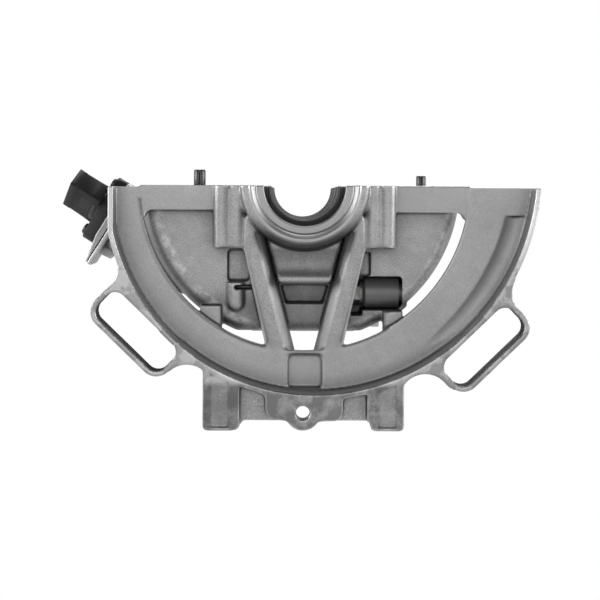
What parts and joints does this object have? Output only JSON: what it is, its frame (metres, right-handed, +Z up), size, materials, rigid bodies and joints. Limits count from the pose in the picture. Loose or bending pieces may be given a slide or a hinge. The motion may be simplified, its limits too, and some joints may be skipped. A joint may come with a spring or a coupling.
{
  "type": "lower crankcase half",
  "caption": "Lower half of an engine crankcase with half bell flange, main bearings, oil sump, oil sensor and a piston relief valve.",
  "frame": {"origin": "on the crank axis, in the joint face, at the mouth of the crank seal seat", "axes": "+Y along the crank axis from the bell flange towards the rear wall, +Z up out of the joint face, +X to the right as seen from the bell flange"},
  "size_m": [0.3774, 0.29, 0.197],
  "materials": {
    "cast_alloy": "sand-textured casting with machined faces",
    "bearing_metal": "bored",
    "pin_steel": "dark, rolled",
    "valve_steel": "dark, turned",
    "spring_steel": "drawn wire",
    "plated_steel": "zinc plated",
    "sheet_steel": "rolled sheet",
    "copper": "soft copper",
    "brass": "turned",
    "sensor_plastic": "fine texture",
    "black_rubber": "matt"
  },
  "bodies": {
    "case": {"bell_flange": "cast_alloy", "left_ear_loop": "cast_alloy", "right_ear_loop": "cast_alloy", "left_joint_arm": "cast_alloy", "right_joint_arm": "cast_alloy", "seal_hub": "cast_alloy", "v_struts": "cast_alloy", "support_foot": "cast_alloy", "bell_ribs": "cast_alloy", "sump_front_wall": "cast_alloy", "sump_trough": "cast_alloy", "left_rail": "cast_alloy", "right_rail": "cast_alloy", "bulkhead_1": "cast_alloy", "bulkhead_2": "cast_alloy", "bulkhead_3": "cast_alloy", "rear_wall": "cast_alloy", "sensor_neck": "cast_alloy", "main_bearing_shells": "bearing_metal", "thrust_washers": "bearing_metal", "dowel_pins": "pin_steel", "valve_cylinder": "valve_steel", "valve_spring": "spring_steel", "valve_washer": "copper", "valve_plug": "plated_steel", "sensor_gasket": "black_rubber", "sensor_plate": "sheet_steel", "sensor_housing": "sensor_plastic", "sensor_terminals": "brass", "sensor_probe": "brass", "sensor_o_ring": "black_rubber", "sensor_screws": "plated_steel", "baffle_plate": "sheet_steel", "baffle_screws": "plated_steel", "oil_strainer": "sheet_steel", "pickup_tube": "sheet_steel", "drain_washer": "copper", "drain_plug": "plated_steel", "gallery_plugs": "plated_steel"},
    "piston": {"valve_piston": "valve_steel"}
  },
  "joints": [
    {"name": "relief_piston_slide", "type": "slide", "parent": "case", "child": "piston", "axis": [-1, 0, 0], "range_m": [0, 0.008], "stiffness_N_per_m": 2500, "springref_m": -0.004, "deforming": ["valve_spring"]}
  ]
}
